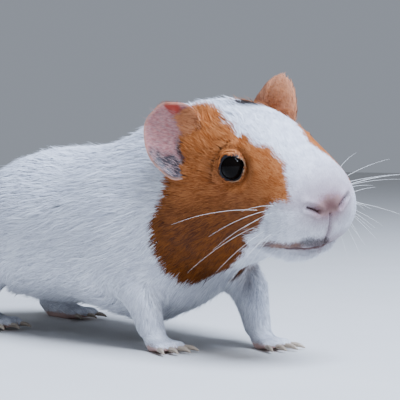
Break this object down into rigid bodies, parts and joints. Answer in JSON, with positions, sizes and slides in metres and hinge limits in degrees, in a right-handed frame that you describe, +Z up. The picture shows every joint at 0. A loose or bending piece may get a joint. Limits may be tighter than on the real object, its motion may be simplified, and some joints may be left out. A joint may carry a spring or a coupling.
{
  "type": "guinea pig model",
  "caption": "Smooth-coated white and tan guinea pig standing with its head stretched forward and turned a little, as a still, life-size museum model.",
  "frame": {"origin": "on the floor, under the middle of the animal's box", "axes": "+X from the rump to the nose, along the trunk; +Y to the animal's left; +Z up"},
  "size_m": [0.2112, 0.086, 0.102],
  "materials": {
    "white_coat": "short white fur lying flat",
    "tan_coat": "short orange-tan fur lying flat, with a white blaze",
    "ear_skin": "thin, nearly bare skin with fine hairs",
    "foot_skin": "bare pinkish skin with creases",
    "eye": "wet gloss",
    "claw_horn": "satin horn"
  },
  "bodies": {
    "root": {"claw_front_left_1": "claw_horn", "claw_front_left_2": "claw_horn", "claw_front_left_3": "claw_horn", "claw_front_left_4": "claw_horn", "claw_front_right_1": "claw_horn", "claw_front_right_2": "claw_horn", "claw_front_right_3": "claw_horn", "claw_front_right_4": "claw_horn", "claw_hind_left_1": "claw_horn", "claw_hind_left_2": "claw_horn", "claw_hind_left_3": "claw_horn", "claw_hind_right_1": "claw_horn", "claw_hind_right_2": "claw_horn", "claw_hind_right_3": "claw_horn", "ear_left": "ear_skin", "ear_right": "ear_skin", "eye_left": "eye", "eye_right": "eye", "foot_front_left": "foot_skin", "foot_front_right": "foot_skin", "foot_hind_left": "foot_skin", "foot_hind_right": "foot_skin", "head": "tan_coat", "leg_front_left": "white_coat", "leg_front_right": "white_coat", "leg_hind_left": "white_coat", "leg_hind_right": "white_coat", "lower_jaw": "white_coat", "neck": "white_coat", "trunk": "white_coat"}
  },
  "joints": []
}
